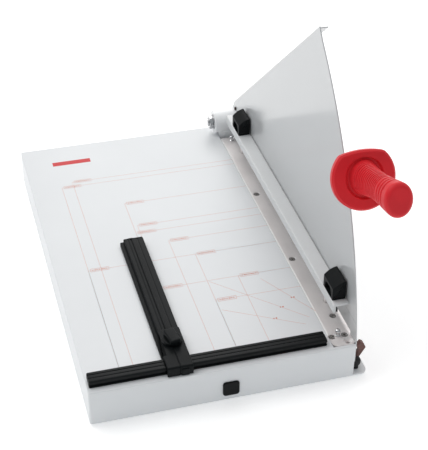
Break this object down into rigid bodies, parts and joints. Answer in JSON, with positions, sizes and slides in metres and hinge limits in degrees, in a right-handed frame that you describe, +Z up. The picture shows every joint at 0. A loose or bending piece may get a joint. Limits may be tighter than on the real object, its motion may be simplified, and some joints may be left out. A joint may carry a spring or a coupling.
{
  "type": "guillotine paper cutter",
  "caption": "Tabletop guillotine paper cutter: hinged knife arm behind a fixed blade guard, hand-pressed clamping bar, front rail and sliding side gauge.",
  "frame": {"origin": "on the standing surface, under the middle of the whole cutter's bounding box at rest", "axes": "+Z up, +X across the table towards the knife, +Y along the cut away from the user"},
  "size_m": [0.3815, 0.6357, 0.398],
  "materials": {
    "white_paint": "fine satin powder coat on folded steel sheet",
    "grey_paint": "satin light-grey powder coat",
    "zinc_steel": "zinc-plated steel",
    "ground_steel": "ground along its length",
    "bright_fasteners": "bright zinc plate",
    "black_fasteners": "blackened steel",
    "bright_chrome": "polished chrome",
    "bronze": "sintered bronze",
    "black_rubber": "matt rubber",
    "black_plastic": "fine-grained moulded plastic",
    "black_anodised": "black anodised extrusion",
    "red_plastic": "satin moulded plastic",
    "brown_plastic": "moulded plastic"
  },
  "bodies": {
    "base": {"base_shell": "white_paint", "base_plate": "white_paint", "cross_channels": "zinc_steel", "plate_screws": "bright_fasteners", "feet": "black_rubber", "foot_screws": "bright_fasteners", "foot_nuts": "bright_fasteners", "support_beam": "zinc_steel", "bed_knife": "ground_steel", "bed_knife_screws": "bright_fasteners", "bed_posts": "bright_chrome", "guide_sleeves": "zinc_steel", "clamp_springs": "bright_fasteners", "front_plug": "black_plastic", "front_rail": "black_anodised", "rail_screws": "bright_fasteners", "pivot_housing": "white_paint", "housing_screws": "bright_fasteners", "pivot_bushes": "bronze", "guard_plate": "white_paint", "guard_bolts": "black_fasteners", "guard_bolt_nuts": "black_fasteners", "guard_screws": "bright_fasteners", "stop_buffer": "black_rubber", "latch_bracket": "zinc_steel", "latch_pin": "bright_fasteners"},
    "arm": {"pivot_axle": "bright_chrome", "disc_washers": "bright_fasteners", "lock_nut": "bright_chrome", "hub_spacer": "ground_steel", "blade_carrier": "grey_paint", "upper_knife": "ground_steel", "knife_screws": "bright_fasteners", "handle_stud": "bright_fasteners", "hand_grip": "red_plastic"},
    "pressing_bar": {"clamp_angle": "grey_paint", "front_bar_grip": "black_plastic", "rear_bar_grip": "black_plastic", "bar_grip_screws": "bright_fasteners", "guide_pins": "ground_steel", "pressing_strip": "black_rubber"},
    "side_gauge": {"gauge_arm": "black_anodised", "gauge_head": "black_plastic", "gauge_head_screws": "bright_fasteners", "clamp_pad": "black_rubber", "guide_tongue": "black_plastic", "gauge_end_cap": "black_plastic"},
    "knob": {"gauge_knob": "black_plastic", "knob_stud": "bright_fasteners"},
    "latch": {"latch": "brown_plastic"}
  },
  "joints": [
    {"name": "arm_swing", "type": "hinge", "parent": "base", "child": "arm", "pos_m": [0.15125, 0.29636, 0.076], "axis": [1, 0, 0], "range_deg": [-17.5, 24.65]},
    {"name": "clamp_press", "type": "slide", "parent": "base", "child": "pressing_bar", "axis": [0, 0, -1], "range_m": [0, 0.0292], "stiffness_N_per_m": 320, "springref_m": -0.025, "deforming": ["clamp_springs"]},
    {"name": "gauge_slide", "type": "slide", "parent": "base", "child": "side_gauge", "axis": [1, 0, 0], "range_m": [-0.094, 0.165]},
    {"name": "knob_turn", "type": "hinge", "parent": "side_gauge", "child": "knob", "pos_m": [-0.075, -0.19214, 0.068], "axis": [0, 0, 1], "range_deg": [-90, 90]},
    {"name": "latch_swing", "type": "hinge", "parent": "base", "child": "latch", "pos_m": [0.15845, -0.22114, 0.0125], "axis": [0, 1, 0], "range_deg": [-8, 12]}
  ]
}
